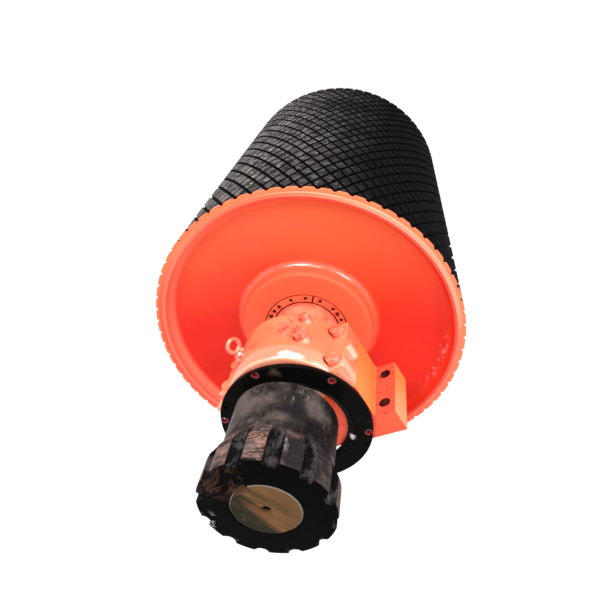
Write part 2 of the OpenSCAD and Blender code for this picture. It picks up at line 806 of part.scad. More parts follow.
// Places on the round of the cap, with z pointing out of the metal
module on_cap(angle, z) {
    rotate([0, 0, angle]) translate([cap_r, 0, z]) rotate([0, 90, 0]) children();
}
module at_eye_bolt() {
    above_cap(eye_bolt_x, eye_bolt_z) children();
}
module at_side_plug() {
    on_cap(side_plug_angle, side_plug_z) children();
}
// Upright places on top of the cap
module above_cap(x, z) {
    translate([x, sqrt(cap_r * cap_r - x * x), z]) upright() children();
}
module at_grease_fitting() {
    above_cap(grease_x, grease_z) children();
}
module at_top_plugs() {
    above_cap(top_plug_x, top_plug_z) children();
    above_cap(rear_plug_x, rear_plug_z) children();
}
module at_drain_plug() {
    translate([-drain_x, drain_y, drain_z]) rotate([0, -90, 0]) children();
}
// Raised seat for a fitting. Then the hole under it, and the metal above it to be faced away
module fitting_seat(radius) {
    translate([0, 0, -fitting_seat_root])
        cylinder(h = fitting_seat_root + fitting_seat_h, r = radius);
}
module fitting_hole(shank_r, depth, seat_r) {
    translate([0, 0, fitting_seat_h - depth]) cylinder(h = depth + 1, r = shank_r + seat_gap);
    translate([0, 0, fitting_seat_h]) cylinder(h = 2 * fitting_seat_root, r = seat_r);
}
module housing_base() {
    color("orangered") difference() {
        union() {
            translate([0, 0, housing_in]) linear_extrude(housing_w) base_outline();
            intersection() {
                housing_barrel();
                translate([-half_space / 2, -half_space, 0]) cube(half_space);
            }
            at_drain_plug() translate([0, 0, -20]) cylinder(h = 20, r = drain_seat_r);
        }
        housing_hollow();
        at_cap_bolts() translate([0, 0, -cap_bolt_grip - 8])
            cylinder(h = cap_bolt_grip + 20, r = cap_bolt_d / 2 + seat_gap);
        at_dowels() translate([0, 0, -dowel_l / 2 - 1])
            cylinder(h = dowel_l, r = dowel_d / 2 + seat_gap);
        at_foot_holes() translate([0, 0, -1])
            cylinder(h = foot_t + 10, r = foot_hole_d / 2);
        at_drain_plug() translate([0, 0, -chamber_r])
            cylinder(h = 2 * chamber_r, r = drain_shank_r + seat_gap);
    }
}
module housing_cap() {
    color("orangered") difference() {
        union() {
            intersection() {
                housing_barrel();
                translate([-half_space / 2, 0, 0]) cube(half_space);
            }
            translate([0, 0, housing_in]) linear_extrude(housing_w) cap_outline();
            // Half-round ribs that cover the dowels
            both_sides() translate([flange_l / 2, rib_low + rib_r, bearing_z]) {
                sphere(r = rib_r);
                upright() cylinder(h = flange_h - rib_low - rib_r, r = rib_r);
            }
            at_eye_bolt() fitting_seat(eye_seat_r);
            at_side_plug() fitting_seat(side_plug_seat_r);
            at_grease_fitting() fitting_seat(grease_seat_r);
            at_top_plugs() fitting_seat(plug_seat_r);
        }
        housing_hollow();
        at_cap_bolts() {
            translate([0, 0, -1]) cylinder(h = flange_h + 2, r = cap_bolt_d / 2 + 1);
            translate([0, 0, flange_h]) cylinder(h = cap_r, r = spot_face_d / 2);
        }
        at_dowels() translate([0, 0, -1]) cylinder(h = dowel_l / 2 + 2,
            r = dowel_d / 2 + seat_gap);
        at_eye_bolt() fitting_hole(eye_shank_r, fitting_shank_l + 6, eye_seat_r);
        at_side_plug() fitting_hole(side_plug_shank_r, fitting_shank_l + 6, side_plug_seat_r);
        at_grease_fitting() fitting_hole(grease_shank_r, 60, grease_seat_r);
        at_top_plugs() fitting_hole(plug_shank_r, 60, plug_seat_r);
    }
}
// Hexagon head across flats w, with the corners of its top turned off
module hex_head(w, h) {
    corner = w / sqrt(3);
    intersection() {
        cylinder(h = h, r = corner, $fn = 6);
        rotate_extrude() polygon([[0, 0], [corner, 0], [corner, h - w * 0.05],
            [w * 0.47, h], [0, h]]);
    }
}
// Hexagon plug that stands on a seat at z = 0, with its shank below
module hex_plug(w, h, shank_r) {
    translate([0, 0, -fitting_shank_l]) cylinder(h = fitting_shank_l + 1, r = shank_r);
    cylinder(h = 3, r = w * 0.62);
    translate([0, 0, 3]) hex_head(w, h);
}
module cap_bolts() {
    head_z = flange_h + cap_washer_t;
    color("orangered") at_cap_bolts() {
        translate([0, 0, -cap_bolt_grip])
            cylinder(h = cap_bolt_grip + head_z + 1, r = cap_bolt_d / 2);
        translate([0, 0, head_z]) hex_head(cap_bolt_head_w, cap_bolt_head_h);
    }
}
module cap_washers() {
    color("orangered") at_cap_bolts() translate([0, 0, flange_h]) difference() {
        cylinder(h = cap_washer_t, r = cap_washer_d / 2);
        translate([0, 0, -1]) cylinder(h = cap_washer_t + 2, r = cap_bolt_d / 2 + 1);
    }
}
module dowel_pins() {
    color("silver") at_dowels() translate([0, 0, -dowel_l / 2])
        cylinder(h = dowel_l, r = dowel_d / 2);
}
module eye_bolt() {
    eye_r = 20;
    wire_r = 6;
    collar_h = 11;
    color("orangered") at_eye_bolt() translate([0, 0, fitting_seat_h]) {
        translate([0, 0, -fitting_shank_l]) cylinder(h = fitting_shank_l + 1, r = eye_shank_r);
        rotate_extrude() polygon([[0, 0], [15, 0], [15, 4], [8, collar_h], [0, collar_h]]);
        translate([0, 0, collar_h + eye_r + wire_r - 3]) rotate([0, 90, eye_turn])
            rotate_extrude() translate([eye_r, 0]) circle(r = wire_r);
    }
}
// Hexagon adapter with a greasing pipe standing on it
module grease_fitting() {
    hex_w = 34;
    hex_h = 24;
    pipe_r = 4.5;
    pipe_l = 44;
    color("orangered") at_grease_fitting() translate([0, 0, fitting_seat_h]) {
        translate([0, 0, -fitting_shank_l])
            cylinder(h = fitting_shank_l + 1, r = grease_shank_r);
        hex_head(hex_w, hex_h);
        translate([0, 0, hex_h - 1]) cylinder(h = 9, r = pipe_r + 4);
        translate([0, 0, hex_h - 1]) cylinder(h = pipe_l, r = pipe_r);
        translate([0, 0, hex_h - 1 + pipe_l]) sphere(r = pipe_r);
    }
}
module cap_plugs() {
    color("orangered") {
        at_top_plugs() translate([0, 0, fitting_seat_h]) hex_plug(24, 12, plug_shank_r);
        at_side_plug() translate([0, 0, fitting_seat_h]) hex_plug(22, 14, side_plug_shank_r);
    }
}
module drain_plug() {
    color("orangered") at_drain_plug() hex_plug(24, 12, drain_shank_r);
}
// Cap that closes the outer shaft opening of the far housing
module far_end_cap() {
    color("orangered") translate([0, 0, outer_wall_z]) rotate_extrude() polygon([
        [0, 0], [seal_bore_outer_r - seat_gap, 0],
        [seal_bore_outer_r - seat_gap, housing_wall],
        [seal_bore_outer_r + 12, housing_wall],
        [seal_bore_outer_r + 8, housing_wall + 6],
        [0, housing_wall + 6]
    ]);
}

drive_end() drum_shell();
drive_end() lagging();
drive_end() end_disc();  // end_disc_drive
far_end() end_disc();  // end_disc_far
drive_end() lock_outer_ring();  // lock_outer_ring_drive
drive_end() lock_inner_ring();  // lock_inner_ring_drive
drive_end() lock_front_ring();  // lock_front_ring_drive
drive_end() lock_rear_ring();  // lock_rear_ring_drive
drive_end() lock_screws();  // lock_screws_drive
far_end() lock_outer_ring();  // lock_outer_ring_far
far_end() lock_inner_ring();  // lock_inner_ring_far
far_end() lock_front_ring();  // lock_front_ring_far
far_end() lock_rear_ring();  // lock_rear_ring_far
far_end() lock_screws();  // lock_screws_far
shaft();
drive_end() coupling_key();
drive_end() coupling_hub();
drive_end() retaining_ring();
drive_end() bearing_outer_ring();  // bearing_outer_ring_drive
drive_end() bearing_inner_ring();  // bearing_inner_ring_drive
drive_end() bearing_rollers();  // bearing_rollers_drive
drive_end() bearing_cage();  // bearing_cage_drive
far_end() bearing_outer_ring();  // bearing_outer_ring_far
far_end() bearing_inner_ring();  // bearing_inner_ring_far
far_end() bearing_rollers();  // bearing_rollers_far
far_end() bearing_cage();  // bearing_cage_far
drive_end() lock_nut();  // lock_nut_drive
drive_end() tab_washer();  // tab_washer_drive
far_end() lock_nut();  // lock_nut_far
far_end() tab_washer();  // tab_washer_far
drive_end() seal_ring(neck_r, housing_in);  // inner_seal_ring_drive
drive_end() seal_ring(coupling_r, outer_wall_z);  // outer_seal_ring_drive
far_end() seal_ring(neck_r, housing_in);  // inner_seal_ring_far
drive_end() locating_rings();  // locating_rings_drive
drive_end() housing_base();  // housing_base_drive
drive_end() housing_cap();  // housing_cap_drive
drive_end() cap_bolts();  // cap_bolts_drive
drive_end() cap_washers();  // cap_washers_drive
drive_end() dowel_pins();  // dowel_pins_drive
drive_end() eye_bolt();  // eye_bolt_drive
drive_end() grease_fitting();  // grease_fitting_drive
drive_end() cap_plugs();  // cap_plugs_drive
drive_end() drain_plug();  // drain_plug_drive
far_end() housing_base();  // housing_base_far
far_end() housing_cap();  // housing_cap_far
far_end() cap_bolts();  // cap_bolts_far
far_end() cap_washers();  // cap_washers_far
far_end() dowel_pins();  // dowel_pins_far
far_end() eye_bolt();  // eye_bolt_far
far_end() grease_fitting();  // grease_fitting_far
far_end() cap_plugs();  // cap_plugs_far
far_end() drain_plug();  // drain_plug_far
far_end() far_end_cap();
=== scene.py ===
"""Looks of a lagged conveyor drive pulley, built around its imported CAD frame."""
import math

import bpy
from mathutils import Matrix, Vector


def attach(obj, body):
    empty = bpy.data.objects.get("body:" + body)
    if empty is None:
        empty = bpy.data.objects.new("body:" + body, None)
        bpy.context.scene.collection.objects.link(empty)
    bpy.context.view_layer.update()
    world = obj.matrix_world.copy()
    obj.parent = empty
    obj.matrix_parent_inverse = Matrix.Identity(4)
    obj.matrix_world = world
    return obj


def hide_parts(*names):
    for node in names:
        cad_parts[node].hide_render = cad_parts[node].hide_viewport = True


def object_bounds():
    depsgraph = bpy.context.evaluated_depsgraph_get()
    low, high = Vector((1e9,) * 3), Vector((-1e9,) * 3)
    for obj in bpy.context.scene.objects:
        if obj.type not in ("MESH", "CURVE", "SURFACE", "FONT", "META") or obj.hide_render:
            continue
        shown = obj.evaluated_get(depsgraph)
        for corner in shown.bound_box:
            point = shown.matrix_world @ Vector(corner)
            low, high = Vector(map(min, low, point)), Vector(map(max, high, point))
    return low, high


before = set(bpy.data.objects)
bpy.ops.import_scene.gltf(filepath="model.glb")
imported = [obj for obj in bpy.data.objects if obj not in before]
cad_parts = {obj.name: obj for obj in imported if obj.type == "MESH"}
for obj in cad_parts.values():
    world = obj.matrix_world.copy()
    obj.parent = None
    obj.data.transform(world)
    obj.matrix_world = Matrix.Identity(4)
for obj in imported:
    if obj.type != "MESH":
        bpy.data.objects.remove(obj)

CAD_BOX = [list(corner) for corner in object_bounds()]

# ---------------------------------------------------------------- sizes, in metres

MM = 0.001
LAGGING_R = 511.8 * MM
LAGGING_HALF = 695 * MM
DRUM_R = 500 * MM
WALL_R = 486.5 * MM  # inside this the band's face has painted light on its left and painted shade on its right
WEB_EDGE_R = 452 * MM  # where the disc's web starts to turn into its fillet at the rim
GROOVE_STARTS = 66
GROOVE_ROWS = 31
GROOVE_W = 8.8 * MM
GROOVE_DEPTH = 5.5 * MM
GROOVE_BEVEL = 1.5 * MM
GROOVE_TURN = math.radians(63.5)
NOTCH_PITCH = math.radians(30)
NOTCH_TURN = math.radians(-4)
RING_CENTRE = (-10.7 * MM, -60.8 * MM)
RING_PCR = 205 * MM
RING_HOLE_TURN = math.radians(33.3)
RING_HOLE_PITCH = math.radians(60)
RING_HOLE_R = 8.5 * MM
RING_FACE_Y = -1047 * MM
BEARING_Y = 930 * MM
FOOT_HOLE_X = 236 * MM
FOOT_HOLE_Y = 60 * MM
LOCK_INNER_R = 111 * MM
LOCK_OUTER_R = 141.5 * MM
SCREW_FACE_Y = 667 * MM
SLIT_TURN = math.radians(52.5)
COUPLING_FACE_Y = -1364 * MM
BOSS_R = 142 * MM
SHAFT_FACE_R = 83 * MM
CENTRE_HOLE_R = 9.6 * MM
NECK_START_Y = 600 * MM
NECK_END_Y = 1002 * MM
CAP_DOME = (970 * MM, 55 * MM, 14 * MM)  # where it starts, its length, and how far it falls


# ---------------------------------------------------------------- camera and stage

def add_camera():
    """A camera above and in front of the drive end, rolled so that the shaft runs up the frame."""
    data = bpy.data.cameras.new("camera")
    data.lens = 31.465
    data.sensor_width = 36
    data.clip_end = 50
    camera = bpy.data.objects.new("camera", data)
    bpy.context.scene.collection.objects.link(camera)
    ahead = Vector((-0.36310, 0.83230, -0.41885)).normalized()
    right = Vector((0.86993, 0.14182, -0.47234))
    right = (right - ahead * right.dot(ahead)).normalized()
    up = right.cross(ahead)
    pose = Matrix((right, up, -ahead)).transposed().to_4x4()
    pose.translation = (0.6545, -2.0826, 0.8269)
    camera.matrix_world = pose
    bpy.context.scene.camera = camera


def add_lamp(name, place, target, size, watts, mirrored=True):
    """A soft lamp aimed at target. mirrored says whether glossy paint shows it."""
    data = bpy.data.lights.new(name, "AREA")
    data.shape = "RECTANGLE"
    data.size, data.size_y = size
    data.energy = watts
    lamp = bpy.data.objects.new(name, data)
    lamp.location = place
    lamp.visible_glossy = mirrored
    aim = Vector(target) - Vector(place)
    lamp.rotation_euler = aim.to_track_quat("-Z", "Y").to_euler()
    bpy.context.scene.collection.objects.link(lamp)


def white_to_the_eye(tree):
    """1 for a ray from the camera, or one that a mirror or a glass sends on, and 0 for light."""
    path = tree.nodes.new("ShaderNodeLightPath")
    total = path.outputs["Is Camera Ray"]
    for ray in ("Is Glossy Ray", "Is Transmission Ray"):
        either = tree.nodes.new("ShaderNodeMath")
        either.operation = "MAXIMUM"
        tree.links.new(total, either.inputs[0])
        tree.links.new(path.outputs[ray], either.inputs[1])
        total = either.outputs[0]
    return total


def add_world():
    world = bpy.data.worlds.new("studio")
    bpy.context.scene.world = world
    world.use_nodes = True
    tree = world.node_tree
    tree.nodes.clear()
    light = tree.nodes.new("ShaderNodeBackground")
    light.inputs["Color"].default_value = (1, 1, 1, 1)
    light.inputs["Strength"].default_value = 0.42
    seen = tree.nodes.new("ShaderNodeBackground")
    seen.inputs["Color"].default_value = (1, 1, 1, 1)
    seen.inputs["Strength"].default_value = 1
    mix = tree.nodes.new("ShaderNodeMixShader")
    tree.links.new(white_to_the_eye(tree), mix.inputs[0])
    tree.links.new(light.outputs[0], mix.inputs[1])
    tree.links.new(seen.outputs[0], mix.inputs[2])
    out = tree.nodes.new("ShaderNodeOutputWorld")
    tree.links.new(mix.outputs[0], out.inputs[0])


def add_floor():
    """A pale floor just below the drum. It keeps a faint shadow and is white elsewhere."""
    low = CAD_BOX[0][2] - 0.004
    mesh = bpy.data.meshes.new("floor")
    half = 14
    mesh.from_pydata([(-half, -half, low), (half, -half, low), (half, half, low),
                      (-half, half, low)], [], [(0, 1, 2, 3)])
    floor = bpy.data.objects.new("floor", mesh)
    bpy.context.scene.collection.objects.link(floor)
    mat = bpy.data.materials.new("floor")
    mat.use_nodes = True
    tree = mat.node_tree
    tree.nodes.clear()
    matt = tree.nodes.new("ShaderNodeBsdfDiffuse")
    matt.inputs["Color"].default_value = (0.86, 0.86, 0.86, 1)
    glow = tree.nodes.new("ShaderNodeEmission")
    glow.inputs["Strength"].default_value = 1.165
    mix = tree.nodes.new("ShaderNodeMixShader")
    share = tree.nodes.new("ShaderNodeMath")
    share.operation = "MULTIPLY"
    share.inputs[1].default_value = 0.80
    tree.links.new(white_to_the_eye(tree), share.inputs[0])
    tree.links.new(share.outputs[0], mix.inputs[0])
    tree.links.new(matt.outputs[0], mix.inputs[1])
    tree.links.new(glow.outputs[0], mix.inputs[2])
    out = tree.nodes.new("ShaderNodeOutputMaterial")
    tree.links.new(mix.outputs[0], out.inputs[0])
    mesh.materials.append(mat)


# ---------------------------------------------------------------- material tools

class Shader:
    """A material's node tree with a Principled shader, and short names for what goes into it."""

    def __init__(self, name, **constants):
        self.mat = bpy.data.materials.new(name)
        self.mat.use_nodes = True
        self.tree = self.mat.node_tree
        self.tree.nodes.clear()
        self.bsdf = self.tree.nodes.new("ShaderNodeBsdfPrincipled")
        out = self.tree.nodes.new("ShaderNodeOutputMaterial")
        self.tree.links.new(self.bsdf.outputs[0], out.inputs[0])
        self.place = self.tree.nodes.new("ShaderNodeTexCoord").outputs["Object"]
        for socket, value in constants.items():
            self.bsdf.inputs[socket.replace("_", " ")].default_value = value

    def put(self, socket, value):
        """Links value to an input, or sets it if it is a plain number or colour."""
        if isinstance(value, bpy.types.NodeSocket):
            self.tree.links.new(value, socket)
        else:
            socket.default_value = value

    def noise(self, scale, detail=3.0, rough=0.55, place=None, distortion=0.0):
        n = self.tree.nodes.new("ShaderNodeTexNoise")
        n.inputs["Scale"].default_value = scale
        n.inputs["Detail"].default_value = detail
        n.inputs["Roughness"].default_value = rough
        n.inputs["Distortion"].default_value = distortion
        self.tree.links.new(place or self.place, n.inputs["Vector"])
        return n.outputs["Fac"]

    def stretched(self, x, y, z):
        n = self.tree.nodes.new("ShaderNodeMapping")
        n.inputs["Scale"].default_value = (x, y, z)
        self.tree.links.new(self.place, n.inputs["Vector"])
        return n.outputs[0]

    def turned(self, degrees, x, y, z, split=False):
        """The place turned about the shaft's axis and then stretched, as a vector or split."""
        turn = self.tree.nodes.new("ShaderNodeMapping")
        turn.inputs["Rotation"].default_value = (0, math.radians(degrees), 0)
        self.tree.links.new(self.place, turn.inputs["Vector"])
        if split:
            n = self.tree.nodes.new("ShaderNodeSeparateXYZ")
            self.tree.links.new(turn.outputs[0], n.inputs[0])
            return n.outputs[0], n.outputs[1], n.outputs[2]
        n = self.tree.nodes.new("ShaderNodeMapping")
        n.inputs["Scale"].default_value = (x, y, z)
        self.tree.links.new(turn.outputs[0], n.inputs["Vector"])
        return n.outputs[0]

    def math(self, kind, a, b=0.0, c=0.0):
        n = self.tree.nodes.new("ShaderNodeMath")
        n.operation = kind
        for socket, value in zip(n.inputs, (a, b, c)):
            self.put(socket, value)
        return n.outputs[0]

    def step(self, value, low, high, to_low=0.0, to_high=1.0):
        """value from low to high becomes to_low to to_high, smoothly, and stays there."""
        n = self.tree.nodes.new("ShaderNodeMapRange")
        n.interpolation_type = "SMOOTHSTEP"
        self.put(n.inputs["Value"], value)
        n.inputs["From Min"].default_value = low
        n.inputs["From Max"].default_value = high
        n.inputs["To Min"].default_value = to_low
        n.inputs["To Max"].default_value = to_high
        return n.outputs[0]

    def mix(self, fac, a, b):
        n = self.tree.nodes.new("ShaderNodeMix")
        n.data_type = "RGBA"
        self.put(n.inputs[0], fac)
        for socket, value in ((n.inputs[6], a), (n.inputs[7], b)):
            self.put(socket, (*value, 1) if isinstance(value, tuple) else value)
        return n.outputs[2]

    def axes(self):
        n = self.tree.nodes.new("ShaderNodeSeparateXYZ")
        self.tree.links.new(self.place, n.inputs[0])
        return n.outputs[0], n.outputs[1], n.outputs[2]

    def faces(self):
        """The surface's own direction: x, y and z of the normal."""
        place = self.tree.nodes.new("ShaderNodeTexCoord")
        n = self.tree.nodes.new("ShaderNodeSeparateXYZ")
        self.tree.links.new(place.outputs["Normal"], n.inputs[0])
        return n.outputs[0], n.outputs[1], n.outputs[2]

    def near(self, centre, reach, ragged=0.0, scale=20):
        """1 near a point, falling to 0 at reach, with a ragged edge."""
        d = 0
        for value, at in zip(self.axes(), centre):
            part = self.math("SUBTRACT", value, at)
            d = self.math("ADD", d, self.math("MULTIPLY", part, part))
        d = self.math("SQRT", d)
        d = self.math("ADD", d, self.math("MULTIPLY", self.noise(scale, 5, 0.7), ragged))
        return self.step(d, reach, reach * 0.6)

    def around(self, centre, start, pitch):
        """How far round the nearest of the evenly spaced places is, as a share of their pitch."""
        x, _, z = self.axes()
        turn = self.math("ARCTAN2", self.math("SUBTRACT", z, centre[1]),
                         self.math("SUBTRACT", x, centre[0]))
        turn = self.math("PINGPONG", self.math("SUBTRACT", turn, start), pitch / 2)
        return self.math("MULTIPLY", turn, 1 / pitch)

    def radius(self, centre=(0, 0)):
        """Distance from the shaft's axis."""
        x, _, z = self.axes()
        x, z = (self.math("SUBTRACT", value, at) for value, at in zip((x, z), centre))
        return self.math("SQRT", self.math("ADD", self.math("MULTIPLY", x, x),
                                           self.math("MULTIPLY", z, z)))

    def hidden_corner(self, reach):
        """0 in tight corners, rising to 1 on open surfaces."""
        n = self.tree.nodes.new("ShaderNodeAmbientOcclusion")
        n.samples = 6
        n.inputs["Distance"].default_value = reach
        return n.outputs["AO"]

    def bump(self, height, distance, strength=1.0, under=None):
        n = self.tree.nodes.new("ShaderNodeBump")
        n.inputs["Distance"].default_value = distance
        n.inputs["Strength"].default_value = strength
        self.put(n.inputs["Height"], height)
        if under is not None:
            self.tree.links.new(under, n.inputs["Normal"])
        return n.outputs[0]

    def finish(self, colour, rough=None, normal=None, metal=None):
        self.put(self.bsdf.inputs["Base Color"], colour)
        for socket, value in (("Roughness", rough), ("Normal", normal), ("Coat Normal", normal),
                              ("Metallic", metal)):
            if value is not None:
                self.put(self.bsdf.inputs[socket], value)
        return self.mat


# ---------------------------------------------------------------- materials

def orange_paint(name, colour, thin_paint_and_shade, lumps, gloss, tint=None, dome=None, **constants):
    """Brushed and sprayed enamel over a rough casting. thin_paint_and_shade is its colour where the
    paint is thinner.
    tint takes the shader and that colour, and returns the colour with the piece's own changes.
    dome is where a casting starts to round off along the shaft, and how far it does."""
    s = Shader(name, **constants)
    cloud = s.noise(3.1, 4, 0.6)
    base = s.mix(s.step(cloud, 0.38, 0.66), colour, thin_paint_and_shade)
    if tint:
        base = tint(s, base)
    dirt = s.step(s.noise(17, 6, 0.68), 0.62, 0.8)
    base = s.mix(s.math("MULTIPLY", dirt, 0.28), base, (0.30, 0.055, 0.02))
    lump = s.bump(s.noise(24, 5, 0.62), lumps, 0.8)
    if dome:
        start, length, fall = dome
        way = s.math("DIVIDE", s.math("SUBTRACT", s.math("ABSOLUTE", s.axes()[1]), start), length)
        way = s.math("MINIMUM", s.math("MAXIMUM", way, 0), 1)
        lump = s.bump(s.math("MULTIPLY", s.math("MULTIPLY", way, way), -1), fall, 1, lump)
    peel = s.bump(s.noise(55, 4, 0.6), 0.12 * MM, 0.6, lump)
    rough = s.step(s.noise(11, 3), 0.3, 0.7, gloss, gloss + 0.16)
    return s.finish(base, rough, peel)


def disc_tint(s, base):
    """Painted light makes the disc lighter towards its top, and the fillet and wall at its rim
    lighter on the left; painted shade makes that wall darker red on the right. Its hub is
    lighter. Paint lies thick and glossy in the hub's fillet."""
    x, _, z = s.axes()
    # Painted light: the disc is lighter towards its top.
    toward_light = s.math("ADD", s.math("MULTIPLY", x, 0.39), s.math("MULTIPLY", z, 0.92))
    toward_light = s.math("ADD", toward_light, s.math("MULTIPLY", s.noise(2.2, 3), 0.25))
    base = s.mix(s.step(toward_light, 0.05, 0.68), base, (0.94, 0.15, 0.060))
    r = s.radius()
    turned_in = s.step(r, WEB_EDGE_R, WEB_EDGE_R + 18 * MM)
    # Painted highlight on the rim's inner wall at the left, painted shade on it at the right.
    wall = s.math("MULTIPLY", turned_in, s.step(x, 0.15, -0.25))
    base = s.mix(s.math("MULTIPLY", wall, 0.8), base, (0.92, 0.22, 0.14))
    shade = s.math("MULTIPLY", turned_in, s.step(x, 0.10, 0.30))
    base = s.mix(shade, base, (0.72, 0.035, 0.015))
    base = s.mix(s.step(r, 0.252, 0.222), base, (0.93, 0.115, 0.050))
    thick = s.math("MULTIPLY", s.step(r, 0.252, 0.236), s.step(r, 0.218, 0.226))
    drips = s.step(s.noise(45, 5, 0.66), 0.40, 0.48)
    drips = s.math("MULTIPLY", drips, s.step(z, -0.06, 0.10))
    drips = s.math("MULTIPLY", drips, s.step(x, -0.24, -0.04, 0.25, 1))
    thick = s.math("MULTIPLY", thick, drips)
    rim = s.math("MULTIPLY", s.step(r, WEB_EDGE_R - 12 * MM, WEB_EDGE_R), s.step(x, 0.24, 0.30))
    rim = s.math("MULTIPLY", rim, s.step(s.noise(60, 4, 0.6), 0.52, 0.58))
    rim = s.math("MULTIPLY", rim, s.step(z, -0.18, -0.24))
    thick = s.math("MAXIMUM", thick, rim)
    s.put(s.bsdf.inputs["Coat Weight"], s.math("ADD", 0.012, thick))
    return base


def band_tint(s, base):
    """The drum's end band, with painted light making it yellower towards the right and painted
    shade making it redder towards the left. Inside WALL_R it has painted light on the left and
    painted shade on the right.
    """
    x, _, z = s.axes()
    # Painted light and shade: yellower towards the right, redder towards the left.
    toward_light = s.math("ADD", s.math("MULTIPLY", x, 0.95), s.math("MULTIPLY", z, 0.30))
    toward_light = s.math("ADD", toward_light, s.math("MULTIPLY", s.noise(4, 4), 0.1))
    base = s.mix(s.step(toward_light, -0.32, 0.05), (0.86, 0.075, 0.030), base)
    base = s.mix(s.step(toward_light, 0.40, 0.52), base, (0.93, 0.27, 0.16))
    # Inside WALL_R: painted light on the left, painted shade on the right.
    inner = s.step(s.radius(), WALL_R + 1 * MM, WALL_R - 1 * MM)
    wall = s.mix(s.step(x, -0.25, 0.10), (0.92, 0.16, 0.095), (0.70, 0.040, 0.018))
    return s.mix(inner, base, wall)


def corner_shade(s, base, reach=26 * MM, share=0.8):
    """Painted shade: tight corners turn a deep, dark red, as the light that stays there would."""
    corner = s.step(s.hidden_corner(reach), 0.80, 0.28)
    return s.mix(s.math("MULTIPLY", corner, share), base, (0.50, 0.022, 0.012))


def cap_tint(s, base):
    """Paint ran down the cap's left side and gathered there. Its faces towards the shaft's ends
    are paler, a painted reflection, and its corners hold painted shade.
    """
    # Painted reflection: faces towards either end of the shaft are paler.
    front = s.step(s.math("ABSOLUTE", s.faces()[1]), 0.45, 0.85)
    base = s.mix(front, base, (0.95, 0.40, 0.24))
    # Painted shade in the corners.
    base = corner_shade(s, base)
    runs = s.step(s.noise(9, 6, 0.7, s.stretched(1, 1.6, 0.5), 0.8), 0.52, 0.66)
    left = s.step(s.axes()[0], 0.05, -0.08, 0.25, 0.8)
    return s.mix(s.math("MULTIPLY", runs, left), base, (0.80, 0.060, 0.028))


def fitting_tint(s, base):
    """Small pieces: painted shade makes them deep red in their corners; they are paler where the
    brush left the most paint.
    """
    pale = s.step(s.noise(60, 4, 0.6), 0.45, 0.62)
    base = s.mix(s.math("MULTIPLY", pale, 0.6), base, (0.94, 0.30, 0.18))
    # Painted shade in the corners.
    return corner_shade(s, base, 14 * MM, 1.0)


def foot_tint(s, base):
    """Painted shade: faces towards the shaft's ends are a darker red, the feet's upper faces a
    mottled dark red, and their holes near black, mottled with rust-red.
    """
    x, y, z = s.axes()
    off = s.math("ABSOLUTE", s.math("ADD", z, 0.114))
    # Painted shade: faces towards the shaft's ends are a darker red.
    front = s.step(s.math("ABSOLUTE", s.faces()[1]), 0.80, 0.97)
    base = s.mix(front, base, (0.84, 0.085, 0.030))
    # Painted shade in the corners.
    base = corner_shade(s, base)
    # Painted shade on the feet's upper faces, in two mottled reds.
    scab = s.step(s.noise(45, 6, 0.7), 0.50, 0.62)
    thin_paint_and_shade = s.mix(scab, (0.72, 0.070, 0.038), (0.42, 0.030, 0.018))
    base = s.mix(s.step(off, 4 * MM, 1 * MM), base, thin_paint_and_shade)
    across = s.math("SUBTRACT", s.math("ABSOLUTE", x), FOOT_HOLE_X)
    along = s.math("ABSOLUTE", s.math("SUBTRACT", s.math("ABSOLUTE", y), BEARING_Y))
    along = s.math("SUBTRACT", along, FOOT_HOLE_Y)
    off_axis = s.math("SQRT", s.math("ADD", s.math("MULTIPLY", across, across),
                                     s.math("MULTIPLY", along, along)))
    ragged = s.math("ADD", off_axis, s.math("MULTIPLY", s.noise(90, 3), 2 * MM))
    # Painted shade in the holes, mottled with rust-red.
    bare_and_hole_shade = s.mix(s.step(s.noise(26, 4), 0.42, 0.58), (0.020, 0.004, 0.003), (0.20, 0.026, 0.018))
    return s.mix(s.step(ragged, 18.5 * MM, 17.4 * MM), base, bare_and_hole_shade)


def ring_tint(s, base):
    """Painted shade: the clamping ring's edges are dark where it stands off the hub and the shaft,
    and so are the walls of its slit.
    """
    r = s.radius()
    inner = s.step(r, LOCK_INNER_R + 3.8 * MM, LOCK_INNER_R + 3.0 * MM)
    outer = s.step(r, LOCK_OUTER_R - 3.6 * MM, LOCK_OUTER_R - 2.8 * MM)
    x, _, z = s.axes()
    off = s.math("SUBTRACT", s.math("MULTIPLY", z, math.cos(SLIT_TURN)),
                 s.math("MULTIPLY", x, math.sin(SLIT_TURN)))
    slit = s.step(s.math("ABSOLUTE", off), 3.2 * MM, 2.5 * MM)
    slit = s.math("MULTIPLY", slit, s.step(z, -1 * MM, 1 * MM))
    # Painted shade in the gaps at both edges and in the slit.
    dark = s.math("MAXIMUM", slit, s.math("ADD", inner, outer))
    return s.mix(dark, base, (0.010, 0.003, 0.003))


